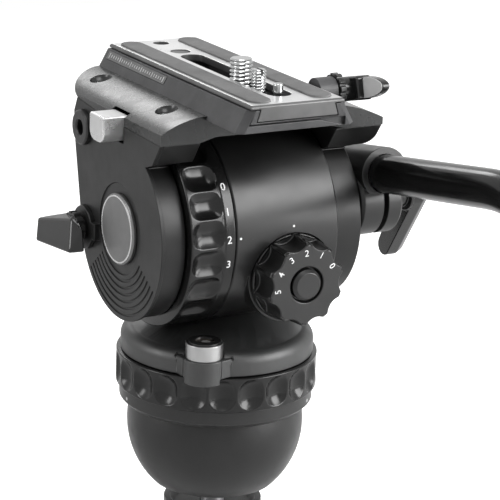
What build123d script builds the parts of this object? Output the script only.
from build123d import *
from math import cos, radians, sin, sqrt
import os

# A fluid video head: a 75 mm half ball carries a pan housing with a tilt drum across its top, and
# a cradle with a sliding camera plate tilts about the drum. The origin is the centre of the half
# ball, the operator stands at -Y, and the pan bar is on the +X side. All lengths are millimetres.

# Frame, fits and overruns
running_gap = 0.3             # between pieces that move past each other
shaft_fit = 0.06              # radial, between a turning shaft and its bore
cut_over = 2.0                # how far a cut runs past the face that it leaves
crown_lean_share = 0.55       # how far the sides of a lever's crown lean in, of its height

# Half ball
ball_radius = 37.5
ball_wall = 5.0
ball_crown = 9.2              # flat top above the centre
ball_foot = 27.0              # flat foot below the centre
ball_floor = 6.0
ball_flange = 5.2
ball_flange_bore = 21.0

# Base collar with the spigot that the pan drag ring turns on
collar_radius = 41.0
collar_height = 7.6
collar_bevel = 2.1
collar_floor = 6.0
spigot_radius = 35.6
spigot_height = 13.7
spigot_wall = 3.6

# Base screws
base_screw_count = 4
base_screw_circle = 26.6
base_screw_radius = 2.5
base_screw_head_radius = 4.2
base_screw_head = 4.6
base_screw_bite = 4.0

# Pan axle and its nut
axle_radius = 6.0
axle_flange_radius = 11.5
axle_flange = 3.0
axle_nut_radius = 9.6
axle_nut_height = 4.6
axle_stub = 1.4

# Pan drag cartridge
cartridge_height = 14.0
cartridge_bore = 13.0
cartridge_side_gap = 0.2

# Tie-down stud, washer and knob below the bowl
stud_radius = 5.0
stud_head_radius = 9.0
stud_head = 4.0
stud_length = 43.0            # below the ball's foot
washer_drop = 9.0             # from the ball's foot to the washer's top
washer_radius = 21.0
washer_rim = 2.6
washer_height = 5.0
tie_knob_radius = 15.5
tie_knob_height = 30.0
tie_knob_collar = 9.5
tie_knob_collar_height = 6.0
tie_knob_lobe_count = 6
tie_knob_lobe = 6.5
tie_knob_rounding = 1.6

# Pan drag ring
pan_ring_radius = 42.5
pan_ring_bore = 36.0
pan_ring_height = 14.6
flute_count = 22
pan_flute_width = 9.8
pan_flute_length = 13.0
flute_land = 0.8              # between a flute and the ring's edge
flute_depth = 2.2
ring_edge = 0.6

# Pan housing
housing_radius = 40.8
housing_height = 9.7
housing_rounding = 4.6
housing_floor = 6.0
bearing_radius = 10.0
nut_room = 11.0

# Saddle that rises from the housing to the drum
drum_clearance = 5.7          # from the housing's top to the drum
saddle_foot_radius = 35.6
saddle_middle_x = 9.0
saddle_half_width = 22.0
saddle_half_depth = 14.0
saddle_depth = 3.0            # how far the drum sinks into the saddle
saddle_ring_room = 0.8        # between the saddle and the tilt drag ring

# Bracket of the spirit level
level_azimuth = 36.0          # from the operator towards -X
level_reach = 38.5
level_nose_radius = 8.7
level_root_half_width = 11.7
level_root_reach = 38.4
level_guard_lip = 2.4         # how far the guard hangs over the pan drag ring
level_guard_gap = 0.35        # between the guard and the pan drag ring
level_seat = 1.8              # below the housing's top
level_pocket_gap = 0.3
level_radius = 7.7
level_height = 6.5
level_wall = 2.1
level_bezel_height = 0.7
level_bezel_wall = 1.7
level_vial_floor = 2.4

# Pan lock lever on the far side
pan_lock_azimuth = 20.0       # from the front towards +X
pan_lock_height = 4.9         # above the housing's underside
pan_lock_boss_radius = 4.6
pan_lock_boss = 2.4           # how far the boss stands out of the housing
pan_lock_shaft_inner = 32.0   # reach of the shaft's inner end
pan_lock_collar_radius = 4.5
pan_lock_collar_width = 1.6
pan_lock_shaft = 2.0
pan_lock_hub = 4.4
pan_lock_tip = 3.2
pan_lock_length = 24.0
pan_lock_slab = 3.0
pan_lock_crown = 1.6
pan_lock_angle = 8.0

# Tilt drum
drum_left = -14.7
drum_right = 33.0
drum_radius = 41.1
drum_wall = 3.3
drum_end = 6.6
drum_edge = 0.7
bearing_seat = 13.0
cover_thickness = 6.0

# Counterbalance knob
knob_x = 12.0
knob_z = -16.0                # from the tilt axis
knob_sink = 1.6               # how far the knob's back lies inside the drum's radius
knob_height = 13.1
knob_base_radius = 18.5
knob_face_radius = 17.4
knob_flute_count = 10
knob_flute_radius = 6.2
knob_flute_reach = 21.4
knob_flute_start = 106.0
knob_collar = 1.6
knob_edge = 0.8
knob_cap_radius = 6.6
knob_cap_dome = 1.3
knob_cap_groove = 0.9
knob_cap_seat = 3.0
boss_radius = 19.5
boss_depth = 21.1             # from the drum's radius inwards
spindle_radius = 4.0
spindle_depth = 14.1          # from the drum's radius inwards
spindle_collar_radius = 6.0
spindle_collar = 2.4

# Tilt drag ring and cartridge
tilt_ring_left = -34.9
tilt_ring_radius = 41.5
tilt_ring_bore = 35.8
tilt_flute_length = 14.8
tilt_flute_width = 9.6
tilt_cartridge_radius = 35.4
tilt_cartridge_left = -34.7
tilt_cartridge_bore = 9.0

# Tilt axle, spring hub and counterbalance springs
tilt_axle_radius = 8.0
hub_radius = 13.7
hub_end_gap = 1.0
spring_radius = 23.5
spring_count = 5
spring_width = 4.2
spring_pitch = 6.2

# Arms of the cradle
arm_left_outer = -46.6
cover_plate = 1.6             # thickness of the left side cover
arm_left_inner = -35.4
arm_right_inner = 33.6
arm_right_outer = 46.0
arm_radius = 38.2
arm_right_radius = 37.4
arm_shoulder = 1.0            # how far the left arm's drum stands in from its cover
arm_front_y = 44.0
arm_front_z = 27.0
arm_top_front_y = 45.3
arm_top_front_z = 39.7
seam_near_y = -34.7
seam_near_z = 42.6
seam_mid_y = 20.0
seam_mid_z = 43.6
seam_far_y = 42.4
seam_far_z = 45.9
flange_foot_y = -28.0
flange_foot_z = 33.2
flange_notch_y = -22.0
flange_notch_z = 32.0
flange_left_inner = -28.4
flange_right_inner = 37.3
flange_right_outer = 55.5
flange_corner = 5.0
flange_front_y = 30.0
flange_front_z = 36.0
bracket_near_y = -12.0        # where the left bracket's blocks run out towards the middle
bracket_far_y = 14.0
bracket_front_y = 42.5
bracket_front_z = 21.0

# Grooves and badge of the left side cover
groove_inner = 21.5
groove_pitch = 2.83
groove_count = 6
groove_width = 1.0
groove_depth = 0.6
groove_start = -41.0          # from the front, seen from the left, downwards
groove_sweep = 109.0
badge_radius = 14.9
badge_recess_radius = 19.0
badge_recess = 0.6
badge_height = 2.1
badge_edge = 0.7

# Right cap
cap_radius = 8.6
cap_height = 3.0
cap_edge = 1.2

# Accessory socket
socket_y = 35.0
socket_z = 34.8
socket_radius = 7.4
socket_face = -49.0
socket_depth = 9.0
socket_thread = 3.175         # radius of a 1/4 inch thread
socket_edge = 0.6

# Tilt lock
tilt_lock_y = 31.5
tilt_lock_z = -7.4
tilt_lock_boss_radius = 9.2
tilt_lock_boss = 2.2
tilt_lock_neck_radius = 5.2
tilt_lock_neck = 1.4
tilt_lock_collar_radius = 7.3
tilt_lock_collar_width = 3.3
tilt_lock_notch_count = 12
tilt_lock_notch = 0.9
tilt_lock_shaft = 2.6
tilt_lock_shaft_depth = 5.0
tilt_lock_hub = 6.2
tilt_lock_tip = 4.6
tilt_lock_length = 23.5
tilt_lock_slab = 4.2
tilt_lock_crown = 3.4
tilt_lock_angle = -9.0
stop_y = 22.8
stop_z = -6.5
stop_length = 8.4
stop_width = 7.0
stop_height = 2.5

# Platform with its two wings
wing_left = -46.3
wing_left_edge_z = 47.0
wing_left_bulge_x = -38.0
wing_left_bulge_z = 51.0
wing_top_left = -28.4
wing_top_z = 53.1
wing_top_right = 30.0
wing_right_bulge_x = 44.6
wing_right_bulge_z = 50.2
wing_right = 55.7
wing_right_edge_z = 45.7
platform_front = 65.0
platform_front_z = 51.0
platform_front_left = -25.0
platform_front_right = 25.0
platform_left_bulge_x = -39.0
platform_left_bulge_y = 57.5
platform_right_turn_y = 30.0
platform_right_bulge_x = 46.0
platform_right_bulge_y = 53.5
beam_thickness = 2.6
beam_left = -22.0
beam_right = 30.0
beam_z = 44.4
cavity_z = 50.3

# Platform screws
wing_screw_radius = 1.6
wing_screw_head_radius = 2.9
wing_screw_head = 2.0
wing_screw_floor = 48.0       # from the tilt axis
wing_screw_room = 0.35
wing_screw_near_length = 7.0  # the near pair reaches into the arms
wing_screw_far_length = 1.0
wing_screw_left_x = -34.6
wing_screw_right_x = 43.0
wing_screw_near_y = -15.0
wing_screw_far_y = 46.0

# Release button
button_y = 4.7
button_z = 42.0
button_width = 13.0
button_height = 11.0
button_face = -55.6
button_inner = -44.0
button_round = 4.6
button_travel = 4.0
button_edge = 0.8
button_pocket_floor = -37.0
button_cut_top = 48.6
button_spring_radius = 3.0
button_spring_wall = 0.9
button_spring_length = 2.7          # fully pressed

# Plate receiver
receiver_near = -61.0
receiver_far = 65.0
receiver_foot = 51.5
receiver_top = 60.5
receiver_foot_half = 26.8
receiver_top_half = 21.8
channel_floor = 55.6
channel_top_half = 16.9
channel_floor_half = 18.4
receiver_corner = 2.6
end_slot_z = 54.5
end_slot_height = 0.5
end_slot_depth = 1.6
end_slot_half = 21.5
wedge_left = 10.0
pin_groove_half = 4.4
pin_groove_depth = 3.2
pin_groove_land = 3.0         # of floor left at each end of the groove

# Scale strip on the receiver's left wall
strip_near = 8.0
strip_far = 62.0
strip_width = 3.6
strip_height = 0.4
strip_sink = 0.25
strip_height_share = 0.75     # how far up the wall the strip's middle lies

# Plate lock
plate_lock_y = -36.0
plate_lock_z = 59.3
plate_lock_stub_radius = 5.7
plate_lock_stub_root = 21.6
plate_lock_stub_end = 30.0
plate_lock_collar_radius = 7.0
plate_lock_collar_width = 2.7
plate_lock_neck_radius = 5.0
plate_lock_neck = 3.4
plate_lock_shaft = 2.5
plate_lock_hub = 5.8
plate_lock_tip = 3.4
plate_lock_length = 21.6
plate_lock_slab = 4.6
plate_lock_crown = 3.6
plate_lock_angle = 166.0
jaw_half_length = 10.0
jaw_travel = 0.8
jaw_back = 19.9
jaw_side_gap = 0.3
jaw_drop = 1.2                # from the receiver's top to the jaw's

# Camera plate
plate_half = 21.0
plate_near = -61.0
plate_far = 65.3
plate_top = 62.5
plate_slab = 1.7
plate_edge = 0.8
plate_foot = 55.9
plate_slot_half = 5.1
plate_slot_near = -50.0
plate_slot_far = 33.0
plate_slot_ledge = 59.5       # height of the ledge that the screw heads pull against
plate_channel_half = 9.0
plate_channel_reach = 5.0     # past each end of the slot
plate_side_gap = 0.35
pad_half = 4.8
pad_x = 13.7
pad_near = -58.0
pad_far = 62.5
pad_sink = 0.7
pad_height = 1.4
captive_y = 39.6
captive_radius = 4.2
captive_height = 2.4
captive_sink = 0.5
lift_hole_y = 57.7
lift_hole_radius = 3.4

# Camera screws and video pin, on a carrier that slides in the plate's channel
carrier_half = 8.4
carrier_near = -51.0
carrier_far = -4.0
carrier_height = 1.6
large_screw_radius = 4.7625
large_screw_y = -14.0
large_screw_rise = 8.0
small_screw_radius = 3.175
small_screw_y = -28.5
small_screw_rise = 6.4
large_head_radius = 7.6
small_head_radius = 5.6
screw_head = 1.3
screw_tip_bevel = 0.7
large_screw_neck = 4.1           # the plain necks below the threads, which start above the plate
small_screw_neck = 2.7
screw_neck_rise = 0.2
pin_radius = 2.0
pin_y = -44.5
pin_rise = 4.0
pin_foot_radius = 3.6
pin_dome = 0.8

# Clamp of the pan bar
bolt_y = -22.6
bolt_z = 8.1
bolt_radius = 2.8
bolt_inner = 36.0
bolt_outer = 80.0
clamp_radius = 15.0
clamp_left = 46.3
clamp_right = 66.3
clamp_edge = 1.2
socket_tube_radius = 11.1
bar_x = 57.9
bar_rise = 11.2               # bar's axis above the bolt's
bar_pitch = 9.4               # degrees up towards the operator
tube_face = 14.6              # from the bolt's foot point on the bar's axis to the tube's face
tube_length = 26.0
slit_width = 2.2
slit_drop = 16.0

# Clamp lever
clamp_neck_radius = 5.2
clamp_neck_end = 76.6
clamp_lever_hub = 6.4
clamp_lever_tip = 4.4
clamp_lever_length = 31.5
clamp_lever_slab = 5.2
clamp_lever_crown = 3.5
clamp_lever_angle = -60.0
clamp_lever_ring = 1.6
clamp_lever_ring_radius = 7.4

# Pan bar, grip and end cap
bar_radius = 8.0
bar_inside = 24.0             # length of bar inside the socket tube
bar_slack = 0.05              # radial, between the bar and its socket
bar_straight = 76.0
bar_bend_radius = 70.0
bar_bend = 25.0
bar_tail = 236.0
grip_radius = 14.0
grip_length = 118.0
grip_rounding = 4.0
grip_from_end = 3.0
end_cap_radius = 10.5
end_cap_height = 5.0
end_cap_dome = 2.0

os.makedirs("parts", exist_ok=True)

# Heights that follow from the sizes above
collar_top = ball_crown + collar_height
pan_ring_foot = collar_top + running_gap
pan_ring_top = pan_ring_foot + pan_ring_height
housing_foot = pan_ring_top + running_gap
housing_top = housing_foot + housing_height
housing_web_top = housing_foot + housing_floor
tilt_height = housing_top + drum_clearance + drum_radius     # tilt axis above the origin
saddle_top = tilt_height - drum_radius + saddle_depth
level_floor = housing_top - level_seat
pan_lock_boss_reach = housing_radius + pan_lock_boss
knob_back = drum_radius - knob_sink
knob_face = knob_back + knob_height
spindle_inner = drum_radius - spindle_depth
boss_root = drum_radius - boss_depth


def level(height):
    """Return the horizontal plane at a height above the origin."""
    return Plane.XY.offset(height)


def side(x):
    """Return the plane across X at x, with +Y and +Z from the tilt axis as its directions."""
    return Plane(origin=(x, 0, tilt_height), x_dir=(0, 1, 0), z_dir=(1, 0, 0))


def rear(y):
    """Return the plane that faces the operator at y, with +X and +Z from the tilt axis."""
    return Plane(origin=(0, y, tilt_height), x_dir=(1, 0, 0), z_dir=(0, -1, 0))


def disc(plane, radius, length, place=(0, 0), mode=Mode.ADD):
    """Stand a cylinder on a plane, or cut it."""
    with BuildSketch(plane) as outline:
        with Locations(place):
            Circle(radius)
    extrude(outline.sketch, amount=length, mode=mode)


def tube(plane, radius, bore, length, place=(0, 0)):
    """Stand a ring with a round bore on a plane."""
    with BuildSketch(plane) as outline:
        with Locations(place):
            Circle(radius)
            Circle(bore, mode=Mode.SUBTRACT)
    extrude(outline.sketch, amount=length)


def block(plane, low, high, length, mode=Mode.ADD):
    """Stand a rectangle between two corners on a plane, or cut it."""
    with BuildSketch(plane) as outline:
        with Locations(((low[0] + high[0]) / 2, (low[1] + high[1]) / 2)):
            Rectangle(high[0] - low[0], high[1] - low[1])
    extrude(outline.sketch, amount=length, mode=mode)


def prism(plane, points, length, mode=Mode.ADD):
    """Stand a closed outline on a plane, or cut it."""
    with BuildSketch(plane) as outline:
        with BuildLine():
            Polyline(*points, close=True)
        make_face()
    extrude(outline.sketch, amount=length, mode=mode)


def turned(points):
    """Revolve a closed outline of radii and heights about the vertical axis."""
    with BuildSketch(Plane.XZ) as outline:
        with BuildLine():
            Polyline(*points, close=True)
        make_face()
    revolve(outline.sketch, axis=Axis.Z)


def flute(plane, width, length, depth):
    """Cut a finger flute with round ends, a little way along X from the plane's origin."""
    with BuildSketch(plane) as outline:
        with Locations((flute_land + length / 2, 0)):
            SlotOverall(length, width)
    extrude(outline.sketch, amount=depth + cut_over, mode=Mode.SUBTRACT)


def paddle_face(plane, angle, hub, tip, length):
    """Return a lever's outline on a plane: the hull of its hub and its tip."""
    with BuildSketch(plane, mode=Mode.PRIVATE) as outline:
        Circle(hub)
        with Locations(polar(length, angle)):
            Circle(tip)
        make_hull(outline.sketch_local.edges())
    return outline.sketch.face()


def paddle(plane, angle, hub, tip, length, slab, crown):
    """Add a lever's paddle: a tapering slab with a narrower faceted crown on it."""
    inset = crown * crown_lean_share
    extrude(paddle_face(plane, angle, hub, tip, length), amount=slab)
    loft([paddle_face(plane.offset(slab), angle, hub, tip, length),
          paddle_face(plane.offset(slab + crown), angle, hub - inset, tip - inset, length)],
         ruled=True)


def notches(plane, radius, count, notch, length):
    """Cut round notches into the rim of a collar that stands on a plane."""
    with BuildSketch(plane) as outline:
        with PolarLocations(radius, count):
            Circle(notch)
    extrude(outline.sketch, amount=length, mode=Mode.SUBTRACT)


def polar(radius, angle):
    """Return the point at a radius and an angle in degrees."""
    return (radius * cos(radians(angle)), radius * sin(radians(angle)))


def ship(builder, name):
    """Label a finished piece and write it."""
    builder.part.label = name
    export_step(builder.part, f"parts/{name}.step")


# Half ball: a turned cup with an inward flange under its flat top
foot_radius = sqrt(ball_radius**2 - ball_foot**2)
crown_radius = sqrt(ball_radius**2 - ball_crown**2)
cup_radius = ball_radius - ball_wall
cup_floor = ball_foot - ball_floor
cup_top = ball_crown - ball_flange
with BuildPart() as half_ball:
    with BuildSketch(Plane.XZ) as ball_outline:
        with BuildLine():
            Polyline((stud_radius, -ball_foot), (foot_radius, -ball_foot))
            ThreePointArc((foot_radius, -ball_foot), (ball_radius, 0), (crown_radius, ball_crown))
            Polyline((crown_radius, ball_crown), (ball_flange_bore, ball_crown),
                     (ball_flange_bore, cup_top), (sqrt(cup_radius**2 - cup_top**2), cup_top))
            ThreePointArc((sqrt(cup_radius**2 - cup_top**2), cup_top), (cup_radius, 0),
                          (sqrt(cup_radius**2 - cup_floor**2), -cup_floor))
            Polyline((sqrt(cup_radius**2 - cup_floor**2), -cup_floor), (stud_radius, -cup_floor),
                     (stud_radius, -ball_foot))
        make_face()
    revolve(ball_outline.sketch, axis=Axis.Z)
    with BuildSketch(level(ball_crown)) as ball_holes:
        with PolarLocations(base_screw_circle, base_screw_count):
            Circle(base_screw_radius)
    extrude(ball_holes.sketch, amount=-ball_flange, mode=Mode.SUBTRACT)
ship(half_ball, "half_ball")

with BuildPart() as base_collar:
    turned([(axle_radius, ball_crown), (collar_radius - collar_bevel, ball_crown),
            (collar_radius, ball_crown + collar_bevel), (collar_radius, collar_top),
            (spigot_radius, collar_top), (spigot_radius, collar_top + spigot_height),
            (spigot_radius - spigot_wall, collar_top + spigot_height),
            (spigot_radius - spigot_wall, ball_crown + collar_floor),
            (axle_radius, ball_crown + collar_floor)])
    with BuildSketch(level(ball_crown)) as collar_holes:
        with PolarLocations(base_screw_circle, base_screw_count):
            Circle(base_screw_radius)
    extrude(collar_holes.sketch, amount=base_screw_bite, mode=Mode.SUBTRACT)
ship(base_collar, "base_collar")

with BuildPart() as base_screws:
    with BuildSketch(level(cup_top - base_screw_head)) as screw_heads:
        with PolarLocations(base_screw_circle, base_screw_count):
            Circle(base_screw_head_radius)
    extrude(screw_heads.sketch, amount=base_screw_head)
    with BuildSketch(level(cup_top)) as screw_shanks:
        with PolarLocations(base_screw_circle, base_screw_count):
            Circle(base_screw_radius)
    extrude(screw_shanks.sketch, amount=ball_flange + base_screw_bite)
ship(base_screws, "base_screws")

# Pan axle: it stands on the collar's floor and carries the housing
nut_foot = housing_web_top + running_gap
with BuildPart() as pan_axle:
    disc(level(ball_crown), axle_radius, nut_foot + axle_nut_height + axle_stub - ball_crown)
    disc(level(ball_crown + collar_floor), axle_flange_radius, axle_flange)
ship(pan_axle, "pan_axle")

with BuildPart() as axle_nut:
    with BuildSketch(level(nut_foot)) as nut_outline:
        RegularPolygon(axle_nut_radius, 6)
        Circle(axle_radius, mode=Mode.SUBTRACT)
    extrude(nut_outline.sketch, amount=axle_nut_height)
ship(axle_nut, "axle_nut")

with BuildPart() as pan_drag_cartridge:
    tube(level(ball_crown + collar_floor), spigot_radius - spigot_wall - cartridge_side_gap,
         cartridge_bore, cartridge_height)
ship(pan_drag_cartridge, "pan_drag_cartridge")

# Tie-down below the bowl
with BuildPart() as tie_down_stud:
    disc(level(-ball_foot - stud_length), stud_radius, stud_length + ball_floor)
    disc(level(-cup_floor), stud_head_radius, stud_head)
    chamfer(tie_down_stud.edges().sort_by(Axis.Z)[0], screw_tip_bevel)
ship(tie_down_stud, "tie_down_stud")

washer_top = -ball_foot - washer_drop
knob_bore = stud_radius + running_gap
with BuildPart() as tie_down_washer:
    turned([(knob_bore, washer_top - washer_height), (washer_radius - washer_height,
                                                      washer_top - washer_height),
            (washer_radius, washer_top - washer_rim), (washer_radius, washer_top),
            (washer_radius - washer_rim, washer_top),
            (washer_radius - washer_height, washer_top - washer_rim),
            (knob_bore, washer_top - washer_rim)])
ship(tie_down_washer, "tie_down_washer")

tie_knob_top = washer_top - washer_height
with BuildPart() as tie_down_knob:
    disc(level(tie_knob_top - tie_knob_collar_height), tie_knob_collar, tie_knob_collar_height)
    disc(level(tie_knob_top - tie_knob_height), tie_knob_radius,
         tie_knob_height - tie_knob_collar_height)
    with BuildSketch(level(tie_knob_top - tie_knob_height)) as tie_knob_lobes:
        with PolarLocations(tie_knob_radius + tie_knob_lobe / 2, tie_knob_lobe_count):
            Circle(tie_knob_lobe)
    extrude(tie_knob_lobes.sketch, amount=tie_knob_height - tie_knob_collar_height,
            mode=Mode.SUBTRACT)
    fillet(tie_down_knob.faces().sort_by(Axis.Z)[0].edges(), tie_knob_rounding)
    disc(level(tie_knob_top - tie_knob_height), knob_bore, tie_knob_height, mode=Mode.SUBTRACT)
ship(tie_down_knob, "tie_down_knob")

# Pan drag ring: finger flutes that start just below its upper edge
with BuildPart() as pan_drag_ring:
    tube(level(pan_ring_foot), pan_ring_radius, pan_ring_bore, pan_ring_height)
    chamfer(pan_drag_ring.edges().filter_by(GeomType.CIRCLE).filter_by(
        lambda edge: edge.radius > pan_ring_bore), ring_edge)
    for turn in range(flute_count):
        angle = radians(360 / flute_count * turn)
        floor_radius = pan_ring_radius - flute_depth
        flute(Plane(origin=(floor_radius * cos(angle), floor_radius * sin(angle), pan_ring_top),
                    x_dir=(0, 0, -1), z_dir=(cos(angle), sin(angle), 0)),
              pan_flute_width, pan_flute_length, flute_depth)
ship(pan_drag_ring, "pan_drag_ring")

# Pan housing: a low drum with a smooth saddle on its top and the level's bracket at its side
level_direction = (-sin(radians(level_azimuth)), -cos(radians(level_azimuth)))
level_across = (-level_direction[1], level_direction[0])
level_place = (level_reach * level_direction[0], level_reach * level_direction[1])
lock_direction = (sin(radians(pan_lock_azimuth)), cos(radians(pan_lock_azimuth)))
lock_z = housing_foot + pan_lock_height


def level_point(reach, across):
    """Return a plan point of the level's bracket from its reach and its offset to the side."""
    return (reach * level_direction[0] + across * level_across[0],
            reach * level_direction[1] + across * level_across[1])


def lock_plane(reach):
    """Return the plane across the pan lock's axis, upright, at a reach from the pan axis."""
    return Plane(origin=(reach * lock_direction[0], reach * lock_direction[1], lock_z),
                 x_dir=(-lock_direction[1], lock_direction[0], 0),
                 z_dir=(lock_direction[0], lock_direction[1], 0))


guard_reach = pan_ring_radius + level_guard_gap
beyond_guard = [level_point(reach, across) for reach, across in
                ((guard_reach, -level_root_half_width), (guard_reach, level_root_half_width),
                 (guard_reach + level_nose_radius, level_root_half_width),
                 (guard_reach + level_nose_radius, -level_root_half_width))]
with BuildPart() as pan_housing:
    disc(level(housing_foot), housing_radius, housing_height)
    fillet(pan_housing.edges().group_by(Axis.Z)[-1], housing_rounding)
    with BuildSketch(level(housing_top)) as saddle_foot:
        Circle(saddle_foot_radius)
    with BuildSketch(level(saddle_top)) as saddle_crown:
        with Locations((saddle_middle_x, 0)):
            Ellipse(saddle_half_width, saddle_half_depth)
    loft([saddle_foot.sketch.face(), saddle_crown.sketch.face()], ruled=True)
    with BuildSketch(level(housing_foot)) as bracket_outline:
        with Locations(level_place):
            Circle(level_nose_radius)
        with BuildLine():
            Polyline(level_point(0, 0), level_point(level_root_reach, -level_root_half_width),
                     level_point(level_root_reach, level_root_half_width), close=True)
        make_face()
        make_hull(bracket_outline.sketch_local.edges())
    extrude(bracket_outline.sketch, amount=level_floor - housing_foot)
    prism(level(housing_foot), beyond_guard, level_floor - housing_foot, mode=Mode.SUBTRACT)
    disc(level(level_floor), level_radius + level_pocket_gap, level_height + level_bezel_height,
         place=level_place, mode=Mode.SUBTRACT)
    disc(side(tilt_ring_left), tilt_ring_radius + saddle_ring_room, drum_left - tilt_ring_left,
         mode=Mode.SUBTRACT)
    disc(side(drum_left), drum_radius, drum_right - drum_left + cut_over, mode=Mode.SUBTRACT)
    disc(level(housing_foot), bearing_radius, housing_floor, mode=Mode.SUBTRACT)
    disc(level(housing_web_top), nut_room, saddle_top - housing_web_top, mode=Mode.SUBTRACT)
    disc(lock_plane(housing_radius - cut_over), pan_lock_boss_radius, pan_lock_boss + cut_over)
    disc(lock_plane(pan_lock_shaft_inner - cut_over), pan_lock_shaft + shaft_fit,
         pan_lock_boss_reach, mode=Mode.SUBTRACT)
ship(pan_housing, "pan_housing")

# Guard of the level's bracket, which hangs over the pan drag ring's edge
with BuildPart() as level_guard:
    with BuildSketch(level(housing_foot - level_guard_lip)) as guard_outline:
        with Locations(level_place):
            Circle(level_nose_radius)
        with BuildLine():
            Polyline(*beyond_guard, close=True)
        make_face(mode=Mode.INTERSECT)
    extrude(guard_outline.sketch, amount=level_floor - housing_foot + level_guard_lip)
ship(level_guard, "level_guard")

with BuildPart() as pan_bearing:
    tube(level(housing_foot), bearing_radius, axle_radius + shaft_fit, housing_floor)
ship(pan_bearing, "pan_bearing")

# Spirit level
with BuildPart() as level_cup:
    disc(level(level_floor), level_radius, level_height, place=level_place)
    disc(level(level_floor + level_vial_floor), level_radius - level_wall, level_height,
         place=level_place, mode=Mode.SUBTRACT)
ship(level_cup, "level_cup")

with BuildPart() as level_vial:
    disc(level(level_floor + level_vial_floor), level_radius - level_wall,
         level_height - level_vial_floor, place=level_place)
ship(level_vial, "level_vial")

with BuildPart() as level_bezel:
    tube(level(level_floor + level_height), level_radius - level_wall / 2,
         level_radius - level_wall - level_bezel_wall, level_bezel_height, place=level_place)
ship(level_bezel, "level_bezel")

# Pan lock lever: collar and lever turn on a radial shaft in the housing
lock_collar_foot = pan_lock_boss_reach + running_gap
with BuildPart() as pan_lock_collar:
    tube(lock_plane(lock_collar_foot), pan_lock_collar_radius, pan_lock_shaft,
         pan_lock_collar_width)
ship(pan_lock_collar, "pan_lock_collar")

with BuildPart() as pan_lock_lever:
    disc(lock_plane(pan_lock_shaft_inner), pan_lock_shaft,
         lock_collar_foot + pan_lock_collar_width - pan_lock_shaft_inner)
    paddle(lock_plane(lock_collar_foot + pan_lock_collar_width), pan_lock_angle, pan_lock_hub,
           pan_lock_tip, pan_lock_length, pan_lock_slab, pan_lock_crown)
ship(pan_lock_lever, "pan_lock_lever")

# Tilt drum: a shell along X with the boss and pocket of the counterbalance knob
pocket_back = knob_back - running_gap
with BuildPart() as tilt_drum:
    disc(side(drum_left), drum_radius, drum_right - drum_left)
    chamfer(tilt_drum.edges().filter_by(GeomType.CIRCLE), drum_edge)
    disc(rear(-boss_root), boss_radius, pocket_back - boss_root, place=(knob_x, knob_z))
    disc(side(drum_left + drum_end), drum_radius - drum_wall, drum_right - drum_left,
         mode=Mode.SUBTRACT)
    disc(side(drum_left), bearing_seat, drum_end, mode=Mode.SUBTRACT)
    disc(rear(-pocket_back), knob_base_radius + running_gap, drum_radius, place=(knob_x, knob_z),
         mode=Mode.SUBTRACT)
    disc(rear(-boss_root), spindle_radius + shaft_fit, drum_radius, place=(knob_x, knob_z),
         mode=Mode.SUBTRACT)
ship(tilt_drum, "tilt_drum")

with BuildPart() as drum_end_cover:
    tube(side(drum_right - cover_thickness), drum_radius - drum_wall, bearing_seat,
         cover_thickness)
ship(drum_end_cover, "drum_end_cover")

with BuildPart() as tilt_bearings:
    tube(side(drum_left), bearing_seat, tilt_axle_radius + shaft_fit, drum_end)
    tube(side(drum_right - cover_thickness), bearing_seat, tilt_axle_radius + shaft_fit,
         cover_thickness)
ship(tilt_bearings, "tilt_bearings")

with BuildPart() as tilt_drag_cartridge:
    tube(side(tilt_cartridge_left), tilt_cartridge_radius, tilt_cartridge_bore,
         drum_left - tilt_cartridge_left)
ship(tilt_drag_cartridge, "tilt_drag_cartridge")

# Tilt drag ring: flutes at its left edge, and a plain band for the numbers
tilt_ring_right = drum_left - running_gap
with BuildPart() as tilt_drag_ring:
    tube(side(tilt_ring_left), tilt_ring_radius, tilt_ring_bore, tilt_ring_right - tilt_ring_left)
    chamfer(tilt_drag_ring.edges().filter_by(GeomType.CIRCLE).filter_by(
        lambda edge: edge.radius > tilt_ring_bore), ring_edge)
    for turn in range(flute_count):
        angle = radians(360 / flute_count * turn)
        floor_radius = tilt_ring_radius - flute_depth
        flute(Plane(origin=(tilt_ring_left, floor_radius * cos(angle),
                            tilt_height + floor_radius * sin(angle)),
                    x_dir=(1, 0, 0), z_dir=(0, cos(angle), sin(angle))),
              tilt_flute_width, tilt_flute_length, flute_depth)
ship(tilt_drag_ring, "tilt_drag_ring")

# Counterbalance knob: a fluted cone with a domed cap
with BuildPart() as counterbalance_knob:
    with BuildSketch(rear(-knob_back)) as knob_base:
        with Locations((knob_x, knob_z)):
            Circle(knob_base_radius)
    with BuildSketch(rear(-knob_face)) as knob_front:
        with Locations((knob_x, knob_z)):
            Circle(knob_face_radius)
    loft([knob_base.sketch.face(), knob_front.sketch.face()])
    chamfer(counterbalance_knob.edges().group_by(Axis.Y)[0], knob_edge)
    with BuildSketch(rear(-knob_back - knob_collar)) as knob_flutes:
        with Locations((knob_x, knob_z)):
            with PolarLocations(knob_flute_reach, knob_flute_count, start_angle=knob_flute_start):
                Circle(knob_flute_radius)
    extrude(knob_flutes.sketch, amount=knob_face - knob_back, mode=Mode.SUBTRACT)
    disc(rear(-knob_face + knob_cap_seat), knob_cap_radius + knob_cap_groove, knob_cap_seat,
         place=(knob_x, knob_z), mode=Mode.SUBTRACT)
    disc(rear(-knob_back), spindle_radius, (knob_face - knob_back) / 2, place=(knob_x, knob_z),
         mode=Mode.SUBTRACT)
ship(counterbalance_knob, "counterbalance_knob")

with BuildPart() as knob_cap:
    disc(rear(-knob_face + knob_cap_seat), knob_cap_radius, knob_cap_seat,
         place=(knob_x, knob_z))
    with BuildSketch(rear(-knob_face)) as cap_dome:
        with Locations((knob_x, knob_z)):
            Circle(knob_cap_radius)
    extrude(cap_dome.sketch, amount=knob_cap_dome, taper=45)
ship(knob_cap, "knob_cap")

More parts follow.
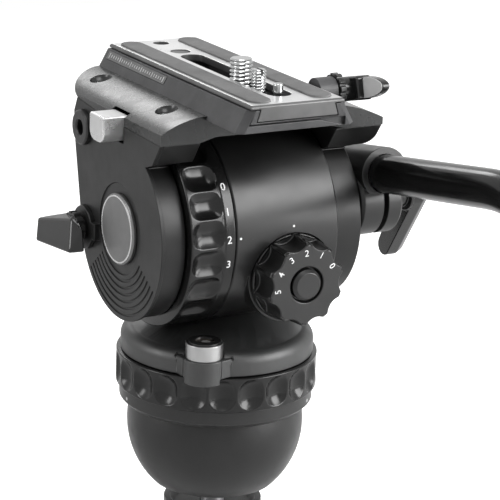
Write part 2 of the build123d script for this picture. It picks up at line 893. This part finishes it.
with BuildPart() as knob_spindle:
    disc(rear(-spindle_inner), spindle_radius, knob_back - spindle_inner
         + (knob_face - knob_back) / 2, place=(knob_x, knob_z))
    disc(rear(-spindle_inner), spindle_collar_radius, spindle_collar, place=(knob_x, knob_z))
ship(knob_spindle, "knob_spindle")

# Tilt axle with the counterbalance springs, inside the drum
with BuildPart() as tilt_axle:
    disc(side(arm_left_outer + cover_plate), tilt_axle_radius,
         arm_right_outer - arm_left_outer - cover_plate)
ship(tilt_axle, "tilt_axle")

hub_left = drum_left + drum_end + hub_end_gap
hub_right = drum_right - cover_thickness - hub_end_gap
with BuildPart() as spring_hub:
    tube(side(hub_left), hub_radius, tilt_axle_radius, hub_right - hub_left)
ship(spring_hub, "spring_hub")

with BuildPart() as counterbalance_springs:
    spring_start = (hub_left + hub_right - (spring_count - 1) * spring_pitch - spring_width) / 2
    for turn in range(spring_count):
        tube(side(spring_start + turn * spring_pitch), spring_radius, hub_radius, spring_width)
ship(counterbalance_springs, "counterbalance_springs")

# Arms of the cradle
wing_screws = [(x, y, length) for x in (wing_screw_left_x, wing_screw_right_x)
               for y, length in ((wing_screw_near_y, wing_screw_near_length),
                                 (wing_screw_far_y, wing_screw_far_length))]
foot_side = sqrt(arm_radius**2 - flange_notch_y**2)


def arm_outline(radius):
    """Return the points of an arm's upper part, from its near flange round to the front."""
    return [(seam_near_y, seam_near_z), (flange_foot_y, flange_foot_z),
            (flange_notch_y, min(foot_side, flange_notch_z)), (0, 0), (radius, 0),
            (arm_front_y, arm_front_z), (arm_top_front_y, arm_top_front_z),
            (seam_far_y, seam_far_z), (seam_mid_y, seam_mid_z)]


def screw_holes():
    """Cut the platform screws' shanks out of what they go into."""
    for x, y, length in wing_screws:
        disc(level(tilt_height + wing_screw_floor), wing_screw_radius, -length, place=(x, y),
             mode=Mode.SUBTRACT)


button_low_y = button_y - button_width / 2
button_high_y = button_y + button_width / 2
pocket_low_z = button_z - button_height / 2 - running_gap
arm_plate_left = arm_left_outer + cover_plate
tilt_lock_place = (tilt_lock_y, tilt_lock_z)
with BuildPart() as left_arm:
    disc(side(arm_plate_left), arm_radius - arm_shoulder, arm_left_inner - arm_plate_left)
    prism(side(arm_plate_left), arm_outline(arm_radius - arm_shoulder),
          arm_left_inner - arm_plate_left)
    disc(side(arm_plate_left), tilt_lock_boss_radius, arm_left_inner - arm_plate_left
         - running_gap, place=tilt_lock_place)
    disc(side(arm_left_outer - tilt_lock_boss), tilt_lock_boss_radius,
         tilt_lock_boss + cover_plate, place=tilt_lock_place)
    disc(side(arm_left_outer - tilt_lock_boss), tilt_lock_shaft + shaft_fit,
         tilt_lock_boss + tilt_lock_shaft_depth + cover_plate, place=tilt_lock_place,
         mode=Mode.SUBTRACT)
    disc(side(arm_plate_left), tilt_axle_radius, arm_left_inner - arm_plate_left,
         mode=Mode.SUBTRACT)
    disc(side(arm_plate_left), socket_radius, socket_face + socket_depth - arm_plate_left,
         place=(socket_y, socket_z), mode=Mode.SUBTRACT)
    block(side(arm_plate_left), (button_low_y - running_gap, pocket_low_z),
          (button_high_y + running_gap, seam_far_z + cut_over),
          button_pocket_floor - arm_plate_left, mode=Mode.SUBTRACT)
    screw_holes()
ship(left_arm, "left_arm")

# Left bracket: two blocks beside the arm, clear of the tilt drag ring, that carry the platform
seam_rise = (seam_mid_z - seam_near_z) / (seam_mid_y - seam_near_y)
with BuildPart() as left_bracket:
    prism(side(arm_left_inner), [(seam_near_y, seam_near_z), (flange_foot_y, flange_foot_z),
                                 (bracket_near_y, seam_near_z
                                  + (bracket_near_y - seam_near_y) * seam_rise)],
          flange_left_inner - arm_left_inner)
    prism(side(arm_left_inner), [(bracket_far_y, seam_near_z
                                  + (bracket_far_y - seam_near_y) * seam_rise),
                                 (bracket_front_y, bracket_front_z), (arm_front_y, arm_front_z),
                                 (arm_top_front_y, arm_top_front_z), (seam_far_y, seam_far_z),
                                 (seam_mid_y, seam_mid_z)],
          flange_left_inner - arm_left_inner)
    screw_holes()
ship(left_bracket, "left_bracket")

with BuildPart() as left_side_cover:
    disc(side(arm_left_outer), arm_radius, cover_plate)
    prism(side(arm_left_outer), arm_outline(arm_radius), cover_plate)
    disc(side(arm_left_outer), socket_radius, cover_plate, place=(socket_y, socket_z),
         mode=Mode.SUBTRACT)
    disc(side(arm_left_outer), badge_recess_radius, badge_recess, mode=Mode.SUBTRACT)
    block(side(arm_left_outer), (button_low_y - running_gap, pocket_low_z),
          (button_high_y + running_gap, seam_far_z + cut_over), cover_plate, mode=Mode.SUBTRACT)
    with BuildSketch(side(arm_left_outer)) as groove_rings:
        for ring in range(groove_count):
            groove_radius = groove_inner + ring * groove_pitch
            with BuildLine():
                CenterArc((0, 0), groove_radius + groove_width / 2, groove_start, -groove_sweep)
                CenterArc((0, 0), groove_radius - groove_width / 2, groove_start, -groove_sweep)
                for end in (groove_start, groove_start - groove_sweep):
                    Line(polar(groove_radius + groove_width / 2, end),
                         polar(groove_radius - groove_width / 2, end))
            make_face()
    extrude(groove_rings.sketch, amount=groove_depth, mode=Mode.SUBTRACT)
    block(side(arm_left_outer - stop_height), (stop_y - stop_length / 2, stop_z - stop_width / 2),
          (stop_y + stop_length / 2, stop_z + stop_width / 2), stop_height)
    disc(side(arm_left_outer - stop_height), tilt_lock_boss_radius, stop_height + cover_plate,
         place=tilt_lock_place, mode=Mode.SUBTRACT)
ship(left_side_cover, "left_side_cover")

with BuildPart() as badge_disc:
    disc(side(arm_left_outer + badge_recess - badge_height), badge_radius, badge_height)
    chamfer(badge_disc.edges().group_by(Axis.X)[0], badge_edge)
ship(badge_disc, "badge_disc")

with BuildPart() as right_arm:
    disc(side(arm_right_inner), arm_right_radius, arm_right_outer - arm_right_inner)
    prism(side(arm_right_inner), arm_outline(arm_right_radius), arm_right_outer - arm_right_inner)
    prism(side(flange_right_inner), [(seam_near_y, seam_near_z), (flange_foot_y, flange_foot_z),
                                     (flange_front_y, flange_front_z), (seam_far_y, seam_far_z),
                                     (seam_mid_y, seam_mid_z)],
          flange_right_outer - flange_right_inner)
    fillet(right_arm.edges().filter_by(lambda edge: edge.center().X > flange_right_outer - shaft_fit)
           .sort_by(Axis.Z)[0], flange_corner)
    disc(side(arm_right_inner), tilt_axle_radius, arm_right_outer - arm_right_inner,
         mode=Mode.SUBTRACT)
    disc(side(bolt_inner), bolt_radius, arm_right_outer - bolt_inner, place=(bolt_y, bolt_z),
         mode=Mode.SUBTRACT)
    screw_holes()
ship(right_arm, "right_arm")

with BuildPart() as right_cap:
    disc(side(arm_right_outer), cap_radius, cap_height)
    chamfer(right_cap.edges().group_by(Axis.X)[-1], cap_edge)
ship(right_cap, "right_cap")

with BuildPart() as accessory_socket:
    tube(side(socket_face), socket_radius, socket_thread, socket_depth,
         place=(socket_y, socket_z))
    chamfer(accessory_socket.edges().group_by(Axis.X)[0], socket_edge)
ship(accessory_socket, "accessory_socket")


def lever_plane(x, y, z, outward):
    """Return the plane across X at a lever's axis, which faces outward (1 for +X, -1 for -X)."""
    return Plane(origin=(x, y, tilt_height + z), x_dir=(0, 1, 0), z_dir=(outward, 0, 0))


# Tilt lock: collar and lever turn on a shaft in the left arm's boss
tilt_lock_face = arm_left_outer - tilt_lock_boss - running_gap
tilt_lock_collar_face = tilt_lock_face - tilt_lock_neck - tilt_lock_collar_width
with BuildPart() as tilt_lock_collar:
    plane = lever_plane(tilt_lock_collar_face + tilt_lock_collar_width, tilt_lock_y,
                        tilt_lock_z, -1)
    tube(plane, tilt_lock_collar_radius, tilt_lock_neck_radius / 2 + tilt_lock_shaft / 2,
         tilt_lock_collar_width)
    notches(plane, tilt_lock_collar_radius, tilt_lock_notch_count, tilt_lock_notch,
            tilt_lock_collar_width)
ship(tilt_lock_collar, "tilt_lock_collar")

with BuildPart() as tilt_lock_lever:
    disc(lever_plane(arm_left_outer - tilt_lock_boss + tilt_lock_shaft_depth, tilt_lock_y,
                     tilt_lock_z, -1), tilt_lock_shaft,
         arm_left_outer - tilt_lock_boss + tilt_lock_shaft_depth - tilt_lock_collar_face)
    disc(lever_plane(tilt_lock_face, tilt_lock_y, tilt_lock_z, -1),
         tilt_lock_neck_radius / 2 + tilt_lock_shaft / 2, tilt_lock_face - tilt_lock_collar_face)
    paddle(lever_plane(tilt_lock_collar_face, tilt_lock_y, tilt_lock_z, -1), -tilt_lock_angle,
           tilt_lock_hub, tilt_lock_tip, tilt_lock_length, tilt_lock_slab, tilt_lock_crown)
ship(tilt_lock_lever, "tilt_lock_lever")

# Platform: two wings and a thin plate between them, over the open room for the drum
receiver_length = receiver_far - receiver_near
receiver_section = [(-receiver_foot_half, receiver_foot), (receiver_foot_half, receiver_foot),
                    (receiver_top_half, receiver_top), (-receiver_top_half, receiver_top)]
with BuildPart() as cradle_platform:
    with BuildSketch(rear(seam_near_y)) as wing_section:
        with BuildLine():
            Polyline((wing_left, wing_left_edge_z), (wing_left, flange_notch_z),
                     (wing_right, flange_notch_z), (wing_right, wing_right_edge_z))
            ThreePointArc((wing_right, wing_right_edge_z), (wing_right_bulge_x, wing_right_bulge_z),
                          (wing_top_right, wing_top_z))
            Line((wing_top_right, wing_top_z), (wing_top_left, wing_top_z))
            ThreePointArc((wing_top_left, wing_top_z), (wing_left_bulge_x, wing_left_bulge_z),
                          (wing_left, wing_left_edge_z))
        make_face()
    extrude(wing_section.sketch, amount=seam_near_y - platform_front)
    with BuildSketch(level(tilt_height + flange_notch_z)) as wing_plan:
        with BuildLine():
            Polyline((wing_left, seam_far_y), (wing_left, seam_near_y), (wing_right, seam_near_y),
                     (wing_right, platform_right_turn_y))
            ThreePointArc((wing_right, platform_right_turn_y),
                          (platform_right_bulge_x, platform_right_bulge_y),
                          (platform_front_right, platform_front))
            Line((platform_front_right, platform_front), (platform_front_left, platform_front))
            ThreePointArc((platform_front_left, platform_front),
                          (platform_left_bulge_x, platform_left_bulge_y), (wing_left, seam_far_y))
        make_face()
    extrude(wing_plan.sketch, amount=tilt_height, mode=Mode.INTERSECT)
    prism(side(wing_left - cut_over),
          [(seam_near_y - cut_over, 0), (seam_near_y - cut_over, seam_near_z),
           (seam_near_y, seam_near_z), (seam_mid_y, seam_mid_z), (seam_far_y, seam_far_z),
           (platform_front, platform_front_z), (platform_front + cut_over, platform_front_z),
           (platform_front + cut_over, 0)],
          wing_right - wing_left + 2 * cut_over, mode=Mode.SUBTRACT)
    block(rear(seam_near_y + beam_thickness), (flange_left_inner, 0),
          (flange_right_inner, cavity_z), seam_near_y - platform_front - cut_over,
          mode=Mode.SUBTRACT)
    prism(rear(seam_near_y - cut_over), [(flange_left_inner, 0), (flange_left_inner, seam_near_z),
                              (beam_left, beam_z), (beam_right, beam_z),
                              (flange_right_inner, seam_near_z), (flange_right_inner, 0)],
          -beam_thickness - 2 * cut_over, mode=Mode.SUBTRACT)
    prism(rear(receiver_near), receiver_section, -receiver_length, mode=Mode.SUBTRACT)
    block(side(wing_left - cut_over), (button_low_y - running_gap, pocket_low_z),
          (button_high_y + running_gap, button_cut_top),
          button_pocket_floor - wing_left + cut_over, mode=Mode.SUBTRACT)
    screw_holes()
    for x, y, length in wing_screws:
        disc(level(tilt_height + wing_screw_floor), wing_screw_head_radius + wing_screw_room,
             tilt_height, place=(x, y), mode=Mode.SUBTRACT)
    disc(side(plate_lock_stub_end), plate_lock_collar_radius + running_gap,
         plate_lock_collar_width + plate_lock_neck, place=(plate_lock_y, plate_lock_z),
         mode=Mode.SUBTRACT)
ship(cradle_platform, "cradle_platform")

with BuildPart() as platform_screws:
    for x, y, length in wing_screws:
        disc(level(tilt_height + wing_screw_floor), wing_screw_head_radius, wing_screw_head,
             place=(x, y))
        disc(level(tilt_height + wing_screw_floor), wing_screw_radius, -length, place=(x, y))
ship(platform_screws, "platform_screws")

# Release button, sprung outwards in the left arm
with BuildPart() as release_button:
    with BuildSketch(side(button_face)) as button_outline:
        with Locations((button_y, button_z)):
            Rectangle(button_width, button_height)
        fillet(button_outline.vertices().sort_by(Axis.Z)[:2], button_round)
    extrude(button_outline.sketch, amount=button_inner - button_face)
    fillet(release_button.faces().sort_by(Axis.X)[0].edges(), button_edge)
ship(release_button, "release_button")

with BuildPart() as button_spring:
    tube(side(button_pocket_floor - button_spring_length), button_spring_radius,
         button_spring_radius - button_spring_wall, button_spring_length,
         place=(button_y, button_z - button_height / 4))
ship(button_spring, "button_spring")

# Plate receiver: sloping walls around an open dovetail channel
plate_lock_place = (plate_lock_y, plate_lock_z)
jaw_pocket_back = jaw_back + jaw_travel + jaw_side_gap
wall_run = receiver_foot_half - receiver_top_half
wall_rise = receiver_top - receiver_foot
wall_length = sqrt(wall_run**2 + wall_rise**2)
strip_plane = Plane(origin=(strip_height_share * wall_run - receiver_foot_half, 0,
                            tilt_height + receiver_foot + strip_height_share * wall_rise),
                    x_dir=(0, 1, 0), z_dir=(-wall_rise, 0, wall_run))
with BuildPart() as plate_receiver:
    prism(rear(receiver_near), receiver_section, -receiver_length)
    chamfer(plate_receiver.edges().group_by(Axis.Y)[0].filter_by(
        lambda edge: abs(edge.tangent_at(0).Z) > shaft_fit), receiver_corner)
    prism(rear(receiver_near + cut_over * -1),
          [(-channel_floor_half, channel_floor), (channel_floor_half, channel_floor),
           (channel_top_half, receiver_top), (channel_top_half, receiver_top + cut_over),
           (-channel_top_half, receiver_top + cut_over), (-channel_top_half, receiver_top)],
          -receiver_length - 2 * cut_over, mode=Mode.SUBTRACT)
    block(level(tilt_height + channel_floor), (-pin_groove_half, receiver_near + pin_groove_land),
          (pin_groove_half, receiver_far - pin_groove_land), -pin_groove_depth,
          mode=Mode.SUBTRACT)
    block(rear(receiver_near), (-end_slot_half, end_slot_z),
          (end_slot_half, end_slot_z + end_slot_height), -end_slot_depth, mode=Mode.SUBTRACT)
    prism(rear(receiver_near), [(wedge_left, end_slot_z), (end_slot_half, receiver_foot),
                                (end_slot_half, end_slot_z)], -end_slot_depth,
          mode=Mode.SUBTRACT)
    disc(side(plate_lock_stub_root), plate_lock_stub_radius,
         plate_lock_stub_end - plate_lock_stub_root, place=plate_lock_place)
    block(side(jaw_back - jaw_half_length), (plate_lock_y - jaw_half_length - jaw_side_gap,
                                             channel_floor),
          (plate_lock_y + jaw_half_length + jaw_side_gap, receiver_top + cut_over),
          jaw_pocket_back - jaw_back + jaw_half_length, mode=Mode.SUBTRACT)
    disc(side(jaw_pocket_back), plate_lock_shaft + shaft_fit, plate_lock_stub_end
         - jaw_pocket_back, place=plate_lock_place, mode=Mode.SUBTRACT)
    block(strip_plane, (strip_near, -strip_width / 2), (strip_far, strip_width / 2),
          -strip_sink, mode=Mode.SUBTRACT)
ship(plate_receiver, "plate_receiver")

with BuildPart() as scale_strip:
    block(strip_plane.offset(-strip_sink), (strip_near, -strip_width / 2),
          (strip_far, strip_width / 2), strip_height)
ship(scale_strip, "scale_strip")

# Plate lock: a lever turns a shaft that draws the jaw
plate_lock_collar_foot = plate_lock_stub_end + running_gap
plate_lock_neck_foot = plate_lock_collar_foot + plate_lock_collar_width
with BuildPart() as plate_lock_collar:
    plane = lever_plane(plate_lock_collar_foot, plate_lock_y, plate_lock_z, 1)
    tube(plane, plate_lock_collar_radius, plate_lock_shaft, plate_lock_collar_width)
    notches(plane, plate_lock_collar_radius, tilt_lock_notch_count, tilt_lock_notch,
            plate_lock_collar_width)
ship(plate_lock_collar, "plate_lock_collar")

with BuildPart() as plate_lock_lever:
    disc(lever_plane(jaw_pocket_back + running_gap, plate_lock_y, plate_lock_z, 1),
         plate_lock_shaft, plate_lock_neck_foot - jaw_pocket_back - running_gap)
    disc(lever_plane(plate_lock_neck_foot, plate_lock_y, plate_lock_z, 1),
         plate_lock_neck_radius, plate_lock_neck)
    paddle(lever_plane(plate_lock_neck_foot + plate_lock_neck, plate_lock_y, plate_lock_z, 1),
           plate_lock_angle, plate_lock_hub, plate_lock_tip, plate_lock_length, plate_lock_slab,
           plate_lock_crown)
ship(plate_lock_lever, "plate_lock_lever")

jaw_top = receiver_top - jaw_drop
jaw_tip = channel_top_half + (jaw_drop * (channel_floor_half - channel_top_half)
                              / (receiver_top - channel_floor))
with BuildPart() as plate_jaw:
    prism(rear(plate_lock_y - jaw_half_length),
          [(channel_floor_half, channel_floor + running_gap), (jaw_back, channel_floor + running_gap),
           (jaw_back, jaw_top), (jaw_tip, jaw_top)],
          -2 * jaw_half_length)
ship(plate_jaw, "plate_jaw")

# Camera plate: a slab over a dovetail, with a slot for its screws and pads on both sides
slab_foot = tilt_height + plate_top - plate_slab
slot_middle = (0, (plate_slot_near + plate_slot_far) / 2)
slot_length = plate_slot_far - plate_slot_near
with BuildPart() as camera_plate:
    block(level(slab_foot), (-plate_half, plate_near), (plate_half, plate_far), plate_slab)
    chamfer(camera_plate.faces().sort_by(Axis.Z)[-1].edges(), plate_edge)
    prism(rear(plate_near),
          [(plate_side_gap - channel_floor_half, plate_foot),
           (channel_floor_half - plate_side_gap, plate_foot),
           (channel_top_half - plate_side_gap, plate_top - plate_slab),
           (plate_side_gap - channel_top_half, plate_top - plate_slab)],
          plate_near - plate_far)
    with BuildSketch(level(tilt_height + plate_foot)) as slot_outline:
        with Locations(slot_middle):
            SlotOverall(slot_length, 2 * plate_slot_half, rotation=90)
    extrude(slot_outline.sketch, amount=plate_top - plate_foot, mode=Mode.SUBTRACT)
    with BuildSketch(level(tilt_height + plate_foot)) as channel_outline:
        with Locations(slot_middle):
            SlotOverall(slot_length + 2 * plate_channel_reach, 2 * plate_channel_half,
                        rotation=90)
    extrude(channel_outline.sketch, amount=plate_slot_ledge - plate_foot, mode=Mode.SUBTRACT)
    with BuildSketch(level(tilt_height + plate_top)) as pad_seats:
        with Locations((-pad_x, (pad_near + pad_far) / 2), (pad_x, (pad_near + pad_far) / 2)):
            SlotOverall(pad_far - pad_near, 2 * pad_half, rotation=90)
    extrude(pad_seats.sketch, amount=-pad_sink, mode=Mode.SUBTRACT)
    disc(level(tilt_height + plate_top), captive_radius, -captive_sink - captive_height,
         place=(0, captive_y), mode=Mode.SUBTRACT)
    disc(level(tilt_height + plate_top), lift_hole_radius, -captive_height,
         place=(0, lift_hole_y), mode=Mode.SUBTRACT)
ship(camera_plate, "camera_plate")

with BuildPart() as plate_pads:
    with BuildSketch(level(tilt_height + plate_top - pad_sink)) as pad_outlines:
        with Locations((-pad_x, (pad_near + pad_far) / 2), (pad_x, (pad_near + pad_far) / 2)):
            SlotOverall(pad_far - pad_near, 2 * pad_half, rotation=90)
    extrude(pad_outlines.sketch, amount=pad_height)
ship(plate_pads, "plate_pads")

with BuildPart() as captive_screw:
    disc(level(tilt_height + plate_top - captive_sink), captive_radius, -captive_height,
         place=(0, captive_y))
ship(captive_screw, "captive_screw")

# Camera screws and video pin: they stand in a carrier that slides below the slot's ledge
carrier_top = tilt_height + plate_slot_ledge - running_gap
screw_head_top = carrier_top - carrier_height - running_gap
slot_tools = ((large_screw_y, large_screw_radius), (small_screw_y, small_screw_radius),
              (pin_y, pin_radius))
with BuildPart() as screw_carrier:
    with BuildSketch(level(carrier_top - carrier_height)) as carrier_outline:
        with Locations((0, (carrier_near + carrier_far) / 2)):
            SlotOverall(carrier_far - carrier_near, 2 * carrier_half, rotation=90)
    extrude(carrier_outline.sketch, amount=carrier_height)
    for y, radius in slot_tools:
        disc(level(carrier_top - carrier_height), radius + shaft_fit, carrier_height,
             place=(0, y), mode=Mode.SUBTRACT)
ship(screw_carrier, "screw_carrier")


def slot_tool(head_radius, neck_radius, radius, rise, y):
    """Add a headed shank that stands up through the plate's slot on a neck."""
    neck_top = tilt_height + plate_top + screw_neck_rise
    disc(level(screw_head_top - screw_head), head_radius, screw_head, place=(0, y))
    disc(level(screw_head_top), neck_radius, neck_top - screw_head_top, place=(0, y))
    disc(level(neck_top), radius, rise - screw_neck_rise, place=(0, y))


with BuildPart() as large_camera_screw:
    slot_tool(large_head_radius, large_screw_neck, large_screw_radius, large_screw_rise,
              large_screw_y)
    chamfer(large_camera_screw.edges().sort_by(Axis.Z)[-1], screw_tip_bevel)
ship(large_camera_screw, "large_camera_screw")

with BuildPart() as small_camera_screw:
    slot_tool(small_head_radius, small_screw_neck, small_screw_radius, small_screw_rise,
              small_screw_y)
    chamfer(small_camera_screw.edges().sort_by(Axis.Z)[-1], screw_tip_bevel)
ship(small_camera_screw, "small_camera_screw")

with BuildPart() as video_pin:
    slot_tool(pin_foot_radius, pin_radius, pin_radius, pin_rise, pin_y)
    fillet(video_pin.edges().sort_by(Axis.Z)[-1], pin_dome)
ship(video_pin, "video_pin")

# Clamp of the pan bar, on a bolt through the right arm
bar_up = (sin(radians(bar_pitch)), cos(radians(bar_pitch)))
bar_out = (-cos(radians(bar_pitch)), sin(radians(bar_pitch)))
tube_centre = (bolt_y + bar_rise * bar_up[0] + tube_face * bar_out[0],
               bolt_z + bar_rise * bar_up[1] + tube_face * bar_out[1])
tube_plane = Plane(origin=(bar_x, tube_centre[0], tilt_height + tube_centre[1]),
                   x_dir=(1, 0, 0), z_dir=(0, -bar_out[0], -bar_out[1]))
with BuildPart() as clamp_bolt:
    disc(side(bolt_inner), bolt_radius, bolt_outer - bolt_inner, place=(bolt_y, bolt_z))
ship(clamp_bolt, "clamp_bolt")

with BuildPart() as bar_clamp:
    disc(side(clamp_left), clamp_radius, clamp_right - clamp_left, place=(bolt_y, bolt_z))
    chamfer(bar_clamp.edges().filter_by(GeomType.CIRCLE), clamp_edge)
    disc(tube_plane, socket_tube_radius, tube_length)
    block(side(bar_x - slit_width / 2), (bolt_y - slit_drop, bolt_z - slit_drop),
          (bolt_y + slit_drop, bolt_z + bar_rise), slit_width, mode=Mode.SUBTRACT)
    disc(tube_plane, bar_radius + bar_slack, tube_length, mode=Mode.SUBTRACT)
    disc(side(clamp_left), bolt_radius + shaft_fit, clamp_right - clamp_left,
         place=(bolt_y, bolt_z), mode=Mode.SUBTRACT)
    disc(side(clamp_right), clamp_lever_ring_radius + running_gap, socket_tube_radius,
         place=(bolt_y, bolt_z), mode=Mode.SUBTRACT)
ship(bar_clamp, "bar_clamp")

clamp_neck_foot = clamp_right + running_gap
with BuildPart() as clamp_lever:
    disc(lever_plane(clamp_neck_foot, bolt_y, bolt_z, 1), clamp_neck_radius,
         clamp_neck_end - clamp_neck_foot)
    disc(lever_plane(clamp_neck_end - clamp_lever_ring, bolt_y, bolt_z, 1),
         clamp_lever_ring_radius, clamp_lever_ring)
    paddle(lever_plane(clamp_neck_end, bolt_y, bolt_z, 1), clamp_lever_angle, clamp_lever_hub,
           clamp_lever_tip, clamp_lever_length, clamp_lever_slab, clamp_lever_crown)
    disc(lever_plane(clamp_neck_foot, bolt_y, bolt_z, 1), bolt_radius + shaft_fit,
         bolt_outer + running_gap - clamp_neck_foot, mode=Mode.SUBTRACT)
ship(clamp_lever, "clamp_lever")

# Pan bar: straight out of its socket, then bent down, with a grip on its end
with BuildPart() as pan_bar:
    with BuildLine(side(bar_x)) as bar_route:
        bar_start = Line((tube_centre[0] - bar_inside * bar_out[0],
                          tube_centre[1] - bar_inside * bar_out[1]),
                         (tube_centre[0] + bar_straight * bar_out[0],
                          tube_centre[1] + bar_straight * bar_out[1]))
        bar_curve = JernArc(bar_start @ 1, bar_start % 1, bar_bend_radius, bar_bend)
        bar_end = PolarLine(bar_curve @ 1, bar_tail, direction=bar_curve % 1)
    with BuildSketch(Plane(origin=bar_route.line @ 0, z_dir=bar_route.line % 0)):
        Circle(bar_radius)
    sweep()
ship(pan_bar, "pan_bar")

bar_tip = bar_route.line @ 1
bar_heading = bar_route.line % 1
with BuildPart() as bar_grip:
    tube(Plane(origin=bar_tip - grip_from_end * bar_heading, z_dir=-bar_heading), grip_radius,
         bar_radius, grip_length)
    fillet(bar_grip.edges().filter_by(GeomType.CIRCLE).filter_by(
        lambda edge: edge.radius > grip_radius - bar_bend / bar_tail), grip_rounding)
ship(bar_grip, "bar_grip")

with BuildPart() as bar_end_cap:
    tube(Plane(origin=bar_tip - grip_from_end * bar_heading, z_dir=bar_heading), end_cap_radius,
         bar_radius, grip_from_end)
    disc(Plane(origin=bar_tip, z_dir=bar_heading), end_cap_radius, end_cap_height)
    fillet(bar_end_cap.faces().sort_by(SortBy.DISTANCE)[-1].edges(), end_cap_dome)
ship(bar_end_cap, "bar_end_cap")
